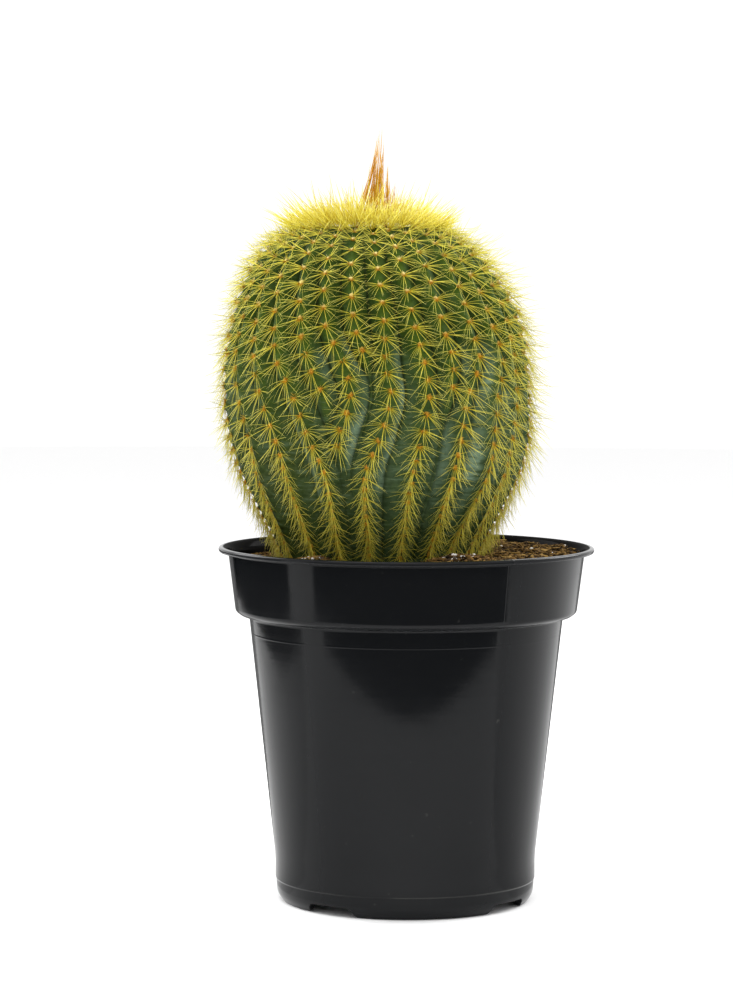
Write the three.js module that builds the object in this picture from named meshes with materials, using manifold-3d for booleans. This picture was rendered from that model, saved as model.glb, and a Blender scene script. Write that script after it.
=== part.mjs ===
// A round, golden-spined ball cactus in a black grower's pot.
// Millimetres, +Z up. The origin is the centre of the ring that the pot stands on, and the front
// of the plant faces -Y. Bearings are in degrees from straight ahead (-Y) towards +X.

import * as THREE from 'three';
import { mergeVertices } from 'three/addons/utils/BufferGeometryUtils.js';
import Module from 'manifold-3d';

const wasm = await Module();
wasm.setup();

// ---------------------------------------------------------------- driving dimensions

const RIM_RADIUS = 85;            // pot, over the lip
const POT_HEIGHT = 160.6;
const WALL = 1.3;                 // moulded wall
const LIP_HEIGHT = 2.6;
const COLLAR_TOP_RADIUS = 80.6;   // outside of the collar under the lip
const COLLAR_FOOT_RADIUS = 77.3;
const COLLAR_FOOT = 131.5;        // height of the collar's lower edge
const SHOULDER = 129.2;           // height at which the shoulder leaves the body wall
const BODY_TOP_RADIUS = 71.1;
const BODY_FOOT_RADIUS = 59.1;
const TAPER_START = 20;           // the wall is upright below this height
const LEDGE = 10.2;               // height of the ledge over the feet
const FOOT_RADIUS = 58.7;
const STAND_RADIUS = 55.9;        // outer edge of the ring that the pot stands on
const STAND_WIDTH = 1.6;
const FLOOR = 5.8;                // underside of the pot's floor
const POT_SIDES = 40;

const NOTCHES = 4;
const NOTCH_BEARING = -36.5;      // centre of the first notch between the feet
const NOTCH_WIDTH = 24;
const NOTCH_HEIGHT = 4.3;
const NOTCH_CORNER = 2.4;
const DRAIN_HOLES = 8;
const DRAIN_RADIUS = 4.5;
const DRAIN_CIRCLE = 41;
const DRAIN_SIDES = 9;

const SOIL_LEVEL = 155.2;         // mean height of the soil
const SOIL_TILT = 2.6;            // how much higher it is at its highest edge than in the middle
const SOIL_TILT_BEARING = 100;    // it is mounded at the right and back
const SOIL_CRUMB = 1.5;           // height of the crumbs' relief
const SOIL_SIDES = 60;
const SOIL_RINGS = 6;             // across the surface, from the pot to the plant
const GAP = 0.45;                 // clear of the pot and of the plant

const AXIS_FOOT = -12;            // the plant stands left of the pot's middle ...
// ... and leans further left over these heights: [how far, from, to].
const AXIS_BENDS = [[-1.8, 190, 235], [-4.2, 255, 304]];

// Crest line of the ribs, from the wool of the crown down to the root collar: [radius, height].
const CREST = [
  [36.6, 301.4], [43, 297.2], [49.6, 290.8], [56.5, 281.4], [62, 270.2], [66, 257.5], [68, 244],
  [68.6, 231], [68.6, 218], [67.2, 207], [64, 195.5], [58.6, 184], [52.6, 172.5], [46.8, 161.5],
  [43, 153], [38, 144], [30, 134], [17, 126.5],
];
const ROOT_FOOT = 124;
const BODY_ROWS = 20;
const RIB_DEPTH = 5.6;
const RIBS_FADE = [146, 158];     // the ribs run out in the root collar, below the soil
const RIBS_RISE = [272, 301.4];   // and start from nothing at the edge of the wool

// The ribs that face the front: their bearings at these heights, and the height of the last
// areole of those that end part of the way down. The rest of the ribs follow a rule.
const LEVELS = [296, 262, 246, 230, 212, 196, 165];
const FRONT_RIBS = [
  { end: 0, at: [-66, -66, -66, -62.5, -56.5, -58, -61] },
  { end: 0, at: [-57, -54, -52, -47.5, -41.5, -40, -39.5] },
  { end: 0, at: [-46, -43, -40, -31.5, -26.5, -22, -22.5] },
  { end: 229, at: [-33.5, -30.5, -26.5, -19.5, -19.5, -16.5, -16] },
  { end: 210, at: [-21, -20, -12.5, -9.5, -15, -14.5, -14.5] },
  { end: 252, at: [-9, -8.5, -4, -2.2, -7.5, -12.5, -13] },
  { end: 0, at: [3.5, 3, 3, 5, 0, -6, -6] },
  { end: 0, at: [15, 14.5, 17.5, 19, 15.5, 12.5, 11] },
  { end: 232, at: [27, 26, 29, 28, 25, 23, 20] },
  { end: 0, at: [42, 38.5, 41, 35, 31.5, 29.5, 27.5] },
  { end: 0, at: [53, 50.5, 54, 50, 47.5, 47, 41] },
  { end: 0, at: [68, 62.5, 62.5, 63.5, 59.5, 58.5, 58] },
];
const BACK_RIBS = 18;
const BACK_ENDING = 5;            // of the back ribs, those that end part of the way down
const RIB_END_FADE = 16;          // length over which an ending rib sinks away
const RIB_END_BARE = 5;           // no needle stands nearer to its end than this

const AREOLE_STEP = 10.4;         // along a rib, between the areoles that carry a needle here
const AREOLE_TOP = 296;
const AREOLE_BOTTOM = 165;
const SPINE_LENGTH = 10.4;
const SPINE_SHORT = 0.75;         // share of that length beside the soil
const SPINE_ROOT = 0.48;          // radius where the needle leaves the rib
const SPINE_SUNK = 2.4;
const SPINE_LEAN = [50, 68];      // away from square to the skin
const SPINE_DROOP = 0.3;          // how much more of them points down the rib than up it
const SPINES_RISE = [284, 297];   // between these heights they gather upwards, round the crown
const SPINES_SETTLE = [164, 182]; // and between these they turn sideways, towards the soil
const GOLDEN_ANGLE = 137.5;       // each needle turns this far from the last ...
const TURN_STRAY = 40;            // ... and up to this much further

const WOOL_RADIUS = 36;
const WOOL_CREST = [[0, 305.9], [9, 305.9], [20, 305.4], [29, 303.7]];
const WOOL_THICK = 2.4;
const CROWN_RINGS = [4.6, 9, 13.4, 17.8, 22.2, 26.6, 30.6, 34];
const CROWN_STEP = 5.6;           // between needles round a ring
const CROWN_LENGTH = 15;
const CROWN_SUNK = 1.4;
const CROWN_SPREAD = 46;          // lean of the outermost crown needles
const CROWN_STRAY = 0.8;          // how far a needle's foot strays from its ring
const CROWN_SWAY = 7;             // and its way from straight outwards

const TUFT_AT = -13.8;            // the tuft stands right of the middle of the crown
const TUFT_CLEAR = 9.4;           // no crown needle stands nearer to its middle
const TUFT_RADIUS = 5.6;
const TUFT_TOP = 345;
const TUFT_FOOT = 304.3;
const TUFT_NEEDLES = 26;
const TUFT_NEEDLE_ROOT = 0.6;
const TUFT_UNEVEN = 20;           // how much shorter than the tallest a tuft needle may be
const TUFT_TIPS = [0.5, 3.9];     // the tips lie between these radii

// ---------------------------------------------------------------- materials

const blackPlastic = new THREE.MeshStandardMaterial({ color: 0x17191b, roughness: 0.28, metalness: 0 });
const pottingMix = new THREE.MeshStandardMaterial({ color: 0x4a3522, roughness: 0.95, metalness: 0 });
const greenSkin = new THREE.MeshStandardMaterial({ color: 0x4f6b34, roughness: 0.6, metalness: 0 });
const lemonSpines = new THREE.MeshStandardMaterial({ color: 0xe0cd55, roughness: 0.5, metalness: 0 });
const orangeSpines = new THREE.MeshStandardMaterial({ color: 0xc97a24, roughness: 0.5, metalness: 0 });

// ---------------------------------------------------------------- small tools

const rad = THREE.MathUtils.degToRad;
const smooth = THREE.MathUtils.smoothstep;
const lerp = THREE.MathUtils.lerp;

// A seeded random draw in 0..1, so that the plant grows the same way each time.
function seeded(seed) {
  let state = seed;
  return () => {
    state = (state + 0x6d2b79f5) | 0;
    let mixed = Math.imul(state ^ (state >>> 15), 1 | state);
    mixed = (mixed + Math.imul(mixed ^ (mixed >>> 7), 61 | mixed)) ^ mixed;
    return ((mixed ^ (mixed >>> 14)) >>> 0) / 4294967296;
  };
}

// The point at a bearing and a radius round an upright axis.
function around(axisX, bearing, radius, height) {
  const angle = rad(bearing);
  return new THREE.Vector3(axisX + radius * Math.sin(angle), -radius * Math.cos(angle), height);
}

// A smooth curve through values given at falling heights.
function through(levels, values, height) {
  if (height >= levels[0]) return values[0];
  const last = levels.length - 1;
  if (height <= levels[last]) return values[last];
  const i = levels.findIndex((level) => level < height) - 1;
  const slope = (k) => {
    const a = Math.max(k - 1, 0);
    const b = Math.min(k + 1, last);
    return (values[b] - values[a]) / (levels[b] - levels[a]);
  };
  const span = levels[i + 1] - levels[i];
  const t = (height - levels[i]) / span;
  const rise = t * t * (3 - 2 * t);
  return lerp(values[i], values[i + 1], rise)
    + span * (slope(i) * t * (1 - t) ** 2 - slope(i + 1) * t * t * (1 - t));
}

// A closed body through rings of equal count, from a point on its first end to one on its last.
function ringStack(firstPole, rings, lastPole) {
  const count = rings[0].length;
  const points = [firstPole, ...rings.flat(), lastPole];
  const at = (ring, i) => 1 + ring * count + (i % count);
  const faces = [];
  for (let i = 0; i < count; i += 1) {
    faces.push(0, at(0, i), at(0, i + 1));
    faces.push(points.length - 1, at(rings.length - 1, i + 1), at(rings.length - 1, i));
  }
  for (let k = 0; k + 1 < rings.length; k += 1) {
    for (let i = 0; i < count; i += 1) {
      faces.push(at(k, i), at(k + 1, i), at(k + 1, i + 1));
      faces.push(at(k, i), at(k + 1, i + 1), at(k, i + 1));
    }
  }
  const geometry = new THREE.BufferGeometry().setFromPoints(points);
  geometry.setIndex(faces);
  return geometry;
}

function toSolid(geometry) {
  const bare = geometry.clone();
  bare.deleteAttribute('normal');
  bare.deleteAttribute('uv');
  const merged = mergeVertices(bare, 1e-4);
  return new wasm.Manifold(new wasm.Mesh({
    numProp: 3,
    vertProperties: new Float32Array(merged.attributes.position.array),
    triVerts: new Uint32Array(merged.index.array),
  }));
}

function toGeometry(solid) {
  const mesh = solid.getMesh();
  const geometry = new THREE.BufferGeometry();
  geometry.setAttribute('position', new THREE.BufferAttribute(mesh.vertProperties, 3));
  geometry.setIndex(new THREE.BufferAttribute(mesh.triVerts, 1));
  geometry.computeVertexNormals();
  return geometry;
}

function piece(name, solid, material) {
  const mesh = new THREE.Mesh(toGeometry(solid), material);
  mesh.name = name;
  return mesh;
}

// One three-sided needle: its root lies sunk below a surface point, and it tapers to its tip.
function needle(foot, direction, length, radius, sunk) {
  const cone = new THREE.ConeGeometry(radius, length + sunk, 3);
  cone.translate(0, (length - sunk) / 2, 0);
  cone.applyQuaternion(new THREE.Quaternion().setFromUnitVectors(new THREE.Vector3(0, 1, 0), direction));
  cone.translate(foot.x, foot.y, foot.z);
  return toSolid(cone);
}

// ---------------------------------------------------------------- pot

function makePot() {
  const lipFoot = POT_HEIGHT - LIP_HEIGHT;
  const floorTop = FLOOR + WALL;
  const profile = [
    [STAND_RADIUS - STAND_WIDTH, 0], [STAND_RADIUS, 0], [FOOT_RADIUS - 0.2, 2.3],
    [FOOT_RADIUS, LEDGE - 0.6], [BODY_FOOT_RADIUS - 0.2, LEDGE + 0.2], [BODY_FOOT_RADIUS, TAPER_START],
    [BODY_TOP_RADIUS, SHOULDER], [COLLAR_FOOT_RADIUS - 2.2, COLLAR_FOOT - 1.7],
    [COLLAR_FOOT_RADIUS - 0.5, COLLAR_FOOT - 1.1], [COLLAR_FOOT_RADIUS, COLLAR_FOOT],
    [COLLAR_TOP_RADIUS, lipFoot], [RIM_RADIUS - 0.5, lipFoot + 0.4], [RIM_RADIUS, lipFoot + 1],
    [RIM_RADIUS - 0.1, POT_HEIGHT - 0.9], [RIM_RADIUS - 1.2, POT_HEIGHT - 0.2],
    [RIM_RADIUS - 3.2, POT_HEIGHT], [COLLAR_TOP_RADIUS - 0.4, POT_HEIGHT - 1],
    [COLLAR_TOP_RADIUS - WALL, lipFoot - 0.4], [COLLAR_FOOT_RADIUS - WALL, COLLAR_FOOT + 0.6],
    [BODY_TOP_RADIUS - WALL, SHOULDER + 1.6], [BODY_FOOT_RADIUS - WALL, TAPER_START + 0.1],
    [BODY_FOOT_RADIUS - WALL - 0.3, floorTop + 0.4],
    [0, floorTop], [0, FLOOR], [STAND_RADIUS - STAND_WIDTH + 0.9, FLOOR],
  ];
  const outline = profile.map(([radius, height]) => new THREE.Vector2(radius, height));
  const lathe = new THREE.LatheGeometry([...outline, outline[0]], POT_SIDES);
  lathe.rotateX(Math.PI / 2);
  return toSolid(lathe).subtract(wasm.Manifold.union([...notches(), ...drainHoles()]));
}

// The notches between the feet: an outline with rounded upper corners, cut through the foot ring.
function notches() {
  const half = NOTCH_WIDTH / 2;
  const outline = new THREE.Shape();
  outline.moveTo(-half, -1);
  outline.lineTo(half, -1);
  outline.lineTo(half, NOTCH_HEIGHT - NOTCH_CORNER);
  outline.absarc(half - NOTCH_CORNER, NOTCH_HEIGHT - NOTCH_CORNER, NOTCH_CORNER, 0, Math.PI / 2);
  outline.absarc(NOTCH_CORNER - half, NOTCH_HEIGHT - NOTCH_CORNER, NOTCH_CORNER, Math.PI / 2, Math.PI);
  const cutter = new THREE.ExtrudeGeometry(outline, {
    depth: 16, bevelEnabled: false, curveSegments: 3,
  });
  cutter.rotateX(Math.PI / 2);
  cutter.translate(0, 8 - FOOT_RADIUS, 0);
  return Array.from({ length: NOTCHES }, (unused, k) => {
    const turned = cutter.clone();
    turned.rotateZ(rad(NOTCH_BEARING + (k * 360) / NOTCHES));
    return toSolid(turned);
  });
}

function drainHoles() {
  const centres = [new THREE.Vector3(0, 0, FLOOR)];
  for (let k = 0; k < DRAIN_HOLES; k += 1) {
    centres.push(around(0, ((k + 0.5) * 360) / DRAIN_HOLES, DRAIN_CIRCLE, FLOOR));
  }
  return centres.map((centre) => {
    const drill = new THREE.CylinderGeometry(DRAIN_RADIUS, DRAIN_RADIUS, 12, DRAIN_SIDES);
    drill.rotateX(Math.PI / 2);
    drill.translate(centre.x, centre.y, centre.z);
    return toSolid(drill);
  });
}

// ---------------------------------------------------------------- cactus body

function axisAt(height) {
  return AXIS_BENDS.reduce((at, [lean, from, to]) => at + lean * smooth(height, from, to), AXIS_FOOT);
}

function allRibs() {
  const draw = seeded(7);
  const first = FRONT_RIBS[0].at;
  const last = FRONT_RIBS[FRONT_RIBS.length - 1].at;
  const ended = (k) => Math.floor((k * BACK_ENDING) / BACK_RIBS);
  const back = Array.from({ length: BACK_RIBS }, (unused, k) => ({ ends: ended(k + 1) > ended(k) }));
  const standing = BACK_RIBS - BACK_ENDING;
  let passed = 0;
  back.forEach((rib, k) => {
    const place = rib.ends ? passed + 0.5 : (passed += 1);
    const top = (k + 1) / (BACK_RIBS + 1);
    const foot = place / (standing + 1);
    const wander = LEVELS.map((level, n) => (n > 0 && n < 5 ? 3 * draw() - 1.5 : 0));
    rib.end = rib.ends ? 225 + 22 * draw() : 0;
    rib.at = LEVELS.map((level, n) => {
      const share = lerp(top, foot, smooth(-level, -262, -206));
      return lerp(last[n], first[n] + 360, share) + wander[n];
    });
  });
  return [...FRONT_RIBS, ...back];
}

const RIBS = allRibs();

// How far a rib still stands out at a height: one, or less where it is ending.
function standing(rib, height) {
  return rib.end ? smooth(height, rib.end - RIB_END_FADE, rib.end) : 1;
}

const crestCurve = new THREE.SplineCurve(
  CREST.map(([radius, height]) => new THREE.Vector2(radius, height)),
);

// One ring of the body: for each rib its crest, and the groove between it and the next rib.
function bodyRing(radius, height) {
  const axis = axisAt(height);
  const depth = RIB_DEPTH * smooth(height, ...RIBS_FADE) * (1 - smooth(height, ...RIBS_RISE));
  const bearings = RIBS.map((rib) => through(LEVELS, rib.at, height));
  const stand = RIBS.map((rib) => standing(rib, height));
  const count = RIBS.length;
  const ring = [];
  RIBS.forEach((rib, i) => {
    const next = (i + 1) % count;
    const gap = (bearings[next] - bearings[i] + 360) % 360;
    const share = THREE.MathUtils.clamp(stand[i] / (stand[i] + stand[next] + 1e-6), 0.12, 0.88);
    ring.push(around(axis, bearings[i], radius - depth * (1 - stand[i]), height));
    ring.push(around(axis, bearings[i] + gap * share, radius - depth, height));
  });
  return ring;
}

const rowProfile = crestCurve.getSpacedPoints(BODY_ROWS - 1);
const bodyRows = rowProfile.map(({ x, y }) => bodyRing(x, y));

// Radius of the crests at a height below the widest place.
function radiusAt(height) {
  const below = rowProfile.findIndex(({ y }) => y < height);
  const [upper, lower] = [rowProfile[below - 1], rowProfile[below]];
  return lerp(upper.x, lower.x, (upper.y - height) / (upper.y - lower.y));
}

// A place on a rib's crest, a share of the way down it: the point, the way outwards, the way up
// the rib and the way round.
function crestFrame(ribIndex, share) {
  const row = Math.min(Math.floor(share * (BODY_ROWS - 1)), BODY_ROWS - 2);
  const between = share * (BODY_ROWS - 1) - row;
  const foot = bodyRows[row][2 * ribIndex].clone().lerp(bodyRows[row + 1][2 * ribIndex], between);
  const bearing = through(LEVELS, RIBS[ribIndex].at, foot.z);
  const slope = crestCurve.getTangentAt(share);
  const up = around(0, bearing, -slope.x, -slope.y).normalize();
  const side = around(0, bearing + 90, 1, 0);
  const out = new THREE.Vector3().crossVectors(side, up).normalize();
  return { foot, up, side, out };
}

// Needles on the rib crests, one to an areole: they lean round the areole in turn, upwards
// round the crown and sideways and shorter near the soil.
function ribNeedles() {
  const draw = seeded(21);
  const length = crestCurve.getLength();
  const solids = [];
  RIBS.forEach((rib, i) => {
    for (let way = (i % 2) * 0.5 * AREOLE_STEP; way < length; way += AREOLE_STEP) {
      const { foot, up, side, out } = crestFrame(i, way / length);
      const lowest = Math.max(AREOLE_BOTTOM, rib.end + RIB_END_BARE);
      if (foot.z > AREOLE_TOP || foot.z < lowest) continue;
      const turn = rad(GOLDEN_ANGLE * solids.length + TURN_STRAY * draw());
      const lean = rad(lerp(...SPINE_LEAN, draw()));
      const nearCrown = smooth(foot.z, ...SPINES_RISE);
      const nearSoil = 1 - smooth(foot.z, ...SPINES_SETTLE);
      const sideways = Math.cos(turn) * (1 - 0.6 * nearCrown);
      const upwards = Math.sin(turn) * (1 - 0.5 * nearSoil) - SPINE_DROOP;
      const direction = out.multiplyScalar(Math.cos(lean))
        .addScaledVector(side, Math.sin(lean) * sideways)
        .addScaledVector(up, Math.sin(lean) * upwards)
        .normalize();
      const reach = SPINE_LENGTH * lerp(1, SPINE_SHORT, nearSoil) * lerp(0.9, 1.1, draw());
      solids.push(needle(foot, direction, reach, SPINE_ROOT, SPINE_SUNK));
    }
  });
  return solids;
}

// The body: a dished seat for the wool on top, the ribbed ball, and the root collar.
function makeBody() {
  const axis = axisAt(CREST[0][1]);
  const seat = [...WOOL_CREST, [WOOL_RADIUS + GAP, CREST[0][1] - 0.2]]
    .map(([radius, height]) => [radius, height - WOOL_THICK - GAP]);
  const dish = seat.slice(1).map(([radius, height]) => bodyRows[0].map((point) => {
    const bearing = THREE.MathUtils.radToDeg(Math.atan2(point.x - axis, -point.y));
    return around(axis, bearing, radius, height);
  }));
  const skin = ringStack(
    new THREE.Vector3(axis, 0, seat[0][1]),
    [...dish, ...bodyRows],
    new THREE.Vector3(AXIS_FOOT, 0, ROOT_FOOT),
  );
  return toSolid(skin).add(wasm.Manifold.union(ribNeedles()));
}

// ---------------------------------------------------------------- crown and tuft

// A dome of wool with a socket for the tuft, and needles in rings, which lean out more and more.
function makeCrown() {
  const draw = seeded(5);
  const edgeHeight = CREST[0][1] - 0.2;
  const axis = axisAt(CREST[0][1]);
  const upper = [...WOOL_CREST, [WOOL_RADIUS - 1.5, edgeHeight + 0.7], [WOOL_RADIUS, edgeHeight]];
  const lower = [...WOOL_CREST, [WOOL_RADIUS - 0.2, edgeHeight]]
    .map(([radius, height]) => [radius, height - WOOL_THICK]);
  const profile = [...lower, ...upper.slice().reverse()];
  const pad = new THREE.LatheGeometry(profile.map(([r, z]) => new THREE.Vector2(r, z)), 36);
  pad.rotateX(Math.PI / 2);
  pad.translate(axis, 0, 0);
  const socket = new THREE.CylinderGeometry(TUFT_RADIUS + GAP, TUFT_RADIUS + GAP, 8, 12);
  socket.rotateX(Math.PI / 2);
  socket.translate(TUFT_AT, 0, TUFT_FOOT - GAP + 4);
  const heights = new THREE.SplineCurve(upper.map(([r, z]) => new THREE.Vector2(r, z)));
  const needles = [];
  CROWN_RINGS.forEach((radius, ring) => {
    const places = Math.round((2 * Math.PI * radius) / CROWN_STEP);
    for (let k = 0; k < places; k += 1) {
      const bearing = ((k + 0.5 * (ring % 2) + 0.5 * (draw() - 0.5)) * 360) / places;
      const away = radius + lerp(-CROWN_STRAY, CROWN_STRAY, draw());
      const foot = around(axis, bearing, away, heights.getPointAt(Math.min(1, away / WOOL_RADIUS)).y);
      const lean = rad(CROWN_SPREAD * (away / WOOL_RADIUS) ** 1.3 + 8 * (draw() - 0.3));
      const sway = lerp(-CROWN_SWAY, CROWN_SWAY, draw());
      const outwards = around(0, bearing + sway, Math.sin(lean), Math.cos(lean));
      const reach = CROWN_LENGTH * lerp(0.75, 1.15, draw());
      if (Math.hypot(foot.x - TUFT_AT, foot.y) > TUFT_CLEAR) {
        needles.push(needle(foot, outwards, reach, SPINE_ROOT, CROWN_SUNK));
      }
    }
  });
  return toSolid(pad).subtract(toSolid(socket)).add(wasm.Manifold.union(needles));
}

// A pointed core, and needles that draw together from its foot towards their tips.
function makeTuft() {
  const draw = seeded(11);
  const core = new THREE.LatheGeometry([
    [0, TUFT_FOOT], [TUFT_RADIUS, TUFT_FOOT], [TUFT_RADIUS, TUFT_FOOT + 3],
    [TUFT_RADIUS * 0.55, TUFT_FOOT + 17], [0, TUFT_FOOT + 30],
  ].map(([r, z]) => new THREE.Vector2(r, z)), 9);
  core.rotateX(Math.PI / 2);
  core.translate(TUFT_AT, 0, 0);
  const needles = Array.from({ length: TUFT_NEEDLES }, (unused, k) => {
    const bearing = GOLDEN_ANGLE * k;
    const away = TUFT_RADIUS * (0.35 + 0.5 * Math.sqrt((k + 0.5) / TUFT_NEEDLES));
    const foot = around(TUFT_AT, bearing, away, TUFT_FOOT + 5);
    const tip = around(TUFT_AT, bearing + 30 * (draw() - 0.5), lerp(...TUFT_TIPS, draw()), 0);
    tip.z = TUFT_TOP - (k === 0 ? 0 : TUFT_UNEVEN * draw() ** 1.4);
    const way = tip.clone().sub(foot);
    return needle(foot, way.clone().normalize(), way.length(), TUFT_NEEDLE_ROOT, 1.5);
  });
  return toSolid(core).add(wasm.Manifold.union(needles));
}

// ---------------------------------------------------------------- soil

function soilHeight(point) {
  const angle = rad(SOIL_TILT_BEARING);
  const along = (point.x * Math.sin(angle) - point.y * Math.cos(angle)) / COLLAR_TOP_RADIUS;
  const crumbs = Math.sin(0.83 * point.x + 1.9 * Math.sin(0.31 * point.y))
    * Math.sin(0.71 * point.y + 1.7 * Math.sin(0.37 * point.x));
  return SOIL_LEVEL + SOIL_TILT * along + SOIL_CRUMB * crumbs;
}

function makeSoil() {
  const ringAt = (axis, radius, height) => Array.from({ length: SOIL_SIDES }, (unused, i) => {
    return around(axis, (i * 360) / SOIL_SIDES, radius, height);
  });
  const inner = (radius) => radius - WALL - GAP;
  const wall = [
    ringAt(0, inner(BODY_FOOT_RADIUS) - 0.8, FLOOR + WALL + GAP),
    ringAt(0, inner(BODY_FOOT_RADIUS), TAPER_START + 0.3),
    ringAt(0, inner(BODY_TOP_RADIUS), SHOULDER + 2.2),
    ringAt(0, inner(COLLAR_FOOT_RADIUS) - 0.4, COLLAR_FOOT + 1.4),
  ];
  const slant = (COLLAR_TOP_RADIUS - COLLAR_FOOT_RADIUS) / (POT_HEIGHT - LIP_HEIGHT - COLLAR_FOOT);
  const lowest = SOIL_LEVEL - SOIL_TILT - SOIL_CRUMB;
  const highest = SOIL_LEVEL + SOIL_TILT + SOIL_CRUMB;
  const brim = ringAt(0, inner(COLLAR_FOOT_RADIUS) - 0.2 + slant * (lowest - COLLAR_FOOT), 0);
  const mouth = ringAt(AXIS_FOOT, radiusAt(highest) + GAP, 0);
  const surface = Array.from({ length: SOIL_RINGS }, (unused, ring) => brim.map((point, i) => {
    const spot = point.clone().lerp(mouth[i], ring / (SOIL_RINGS - 1));
    spot.z = soilHeight(spot);
    return spot;
  }));
  const hole = rowProfile.filter(({ y }) => y < lowest)
    .map(({ x, y }) => ringAt(AXIS_FOOT, x + GAP, y));
  return toSolid(ringStack(
    new THREE.Vector3(AXIS_FOOT, 0, ROOT_FOOT - GAP),
    [...hole.slice().reverse(), ...surface.slice().reverse(), ...wall.slice().reverse()],
    new THREE.Vector3(0, 0, FLOOR + WALL + GAP),
  ));
}

// ---------------------------------------------------------------- the object

const group = new THREE.Group();
group.name = 'potted_round_cactus';
group.add(piece('pot', makePot(), blackPlastic));
group.add(piece('potting_soil', makeSoil(), pottingMix));
group.add(piece('cactus_body', makeBody(), greenSkin));
group.add(piece('crown_spines', makeCrown(), lemonSpines));
group.add(piece('crown_tuft', makeTuft(), orangeSpines));

export default group;
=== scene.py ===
"""A round, golden-spined ball cactus in a black grower's pot, on a white table in soft light."""

import math

import bmesh
import bpy
import numpy as np
from mathutils import Matrix, Vector


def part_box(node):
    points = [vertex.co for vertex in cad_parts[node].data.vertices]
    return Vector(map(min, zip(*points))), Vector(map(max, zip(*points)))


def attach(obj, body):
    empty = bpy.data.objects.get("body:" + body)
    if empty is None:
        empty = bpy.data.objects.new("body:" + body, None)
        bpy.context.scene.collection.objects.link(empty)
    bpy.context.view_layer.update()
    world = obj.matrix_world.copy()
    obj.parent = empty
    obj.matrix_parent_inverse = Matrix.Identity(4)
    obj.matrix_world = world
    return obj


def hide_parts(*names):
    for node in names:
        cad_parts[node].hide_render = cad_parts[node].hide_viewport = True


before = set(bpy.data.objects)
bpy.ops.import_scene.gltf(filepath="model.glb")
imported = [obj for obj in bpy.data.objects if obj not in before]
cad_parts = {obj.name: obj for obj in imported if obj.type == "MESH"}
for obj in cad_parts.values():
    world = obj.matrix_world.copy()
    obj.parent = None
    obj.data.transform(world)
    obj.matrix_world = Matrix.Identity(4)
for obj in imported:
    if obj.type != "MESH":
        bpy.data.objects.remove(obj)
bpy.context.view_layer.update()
MM = 0.001

# ------------------------ camera, table and light
# A long lens a little above the plant looks down on it by a few degrees. A white table, a white
# world and three soft boxes light it. Sheets that only the pot's gloss sees stand for the room.

PICTURE = (733, 999)
FOCAL_PIXELS = 3388
SENSOR = 36
CAMERA_AT = (-18.1 * MM, -1530 * MM, 284.6 * MM)
CAMERA_DOWN = 3.85
CAMERA_ROLL = 0.2


def deselect():
    bpy.ops.object.select_all(action="DESELECT")


deselect()
bpy.ops.object.camera_add(location=CAMERA_AT)
camera = bpy.context.object
camera.data.lens = FOCAL_PIXELS / max(PICTURE) * SENSOR
camera.data.sensor_width = SENSOR
camera.data.clip_end = 30
tilt = Matrix.Rotation(math.radians(90 - CAMERA_DOWN), 3, "X")
camera.rotation_euler = (tilt @ Matrix.Rotation(math.radians(CAMERA_ROLL), 3, "Z")).to_euler()
scene = bpy.context.scene
scene.camera = camera
scene.view_settings.view_transform = "Standard"
scene.view_settings.look = "None"

world = bpy.data.worlds.new("studio")
scene.world = world
world.use_nodes = True
world.node_tree.nodes["Background"].inputs["Color"].default_value = (1, 1, 1, 1)
world.node_tree.nodes["Background"].inputs["Strength"].default_value = 1.08


def softbox(name, place, target, size, watts):
    bpy.ops.object.light_add(type="AREA", location=place)
    lamp = bpy.context.object
    lamp.name = name
    lamp.data.shape = "RECTANGLE"
    lamp.data.size, lamp.data.size_y = size
    lamp.data.energy = watts
    lamp.rotation_euler = (Vector(target) - Vector(place)).to_track_quat("-Z", "Y").to_euler()


softbox("overhead", (-0.2, -0.3, 1.5), (0, 0, 0.25), (1.0, 1.0), 9)
softbox("left", (-1.1, 0.6, 0.9), (0, 0, 0.25), (0.8, 0.8), 13)
softbox("right", (1.1, 0.6, 0.9), (0, 0, 0.25), (0.8, 0.8), 15)


def plain(name, colour, roughness):
    material = bpy.data.materials.new(name)
    material.use_nodes = True
    shader = material.node_tree.nodes["Principled BSDF"]
    shader.inputs["Base Color"].default_value = (*colour, 1)
    shader.inputs["Roughness"].default_value = roughness
    return material


bpy.ops.mesh.primitive_plane_add(size=12)
table = bpy.context.object
table.name = "table"
table.data.materials.append(plain("table_white", (0.99, 0.99, 0.99), 0.8))


SHEETS_END = 4.0


def mirrored_sheet(name, azimuths, shade=0.0, nears=(0.07, 0.07), bulge=0.0):
    """A sheet on the table, between two azimuths, that only the gloss of the pot sees."""
    deselect()
    bpy.ops.mesh.primitive_grid_add(x_subdivisions=24, y_subdivisions=1, size=2)
    sheet = bpy.context.object
    sheet.name = name
    # A darker sheet lies higher, and so hides a paler one under it.
    lift = (0.6 - 0.3 * shade) * MM
    for vertex in sheet.data.vertices:
        share = (vertex.co.x + 1) / 2
        azimuth = math.radians(azimuths[0] + (azimuths[1] - azimuths[0]) * share)
        near = nears[0] + (nears[1] - nears[0]) * share + bulge * vertex.co.x ** 2
        away = near if vertex.co.y < 0 else SHEETS_END
        vertex.co = (away * math.sin(azimuth), -away * math.cos(azimuth), lift)
    paint = plain(name + "_paint", (shade, shade, shade), 1)
    paint.node_tree.nodes["Principled BSDF"].inputs["Specular IOR Level"].default_value = 0
    sheet.data.materials.append(paint)
    sheet.visible_camera = sheet.visible_diffuse = sheet.visible_shadow = False


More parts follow.
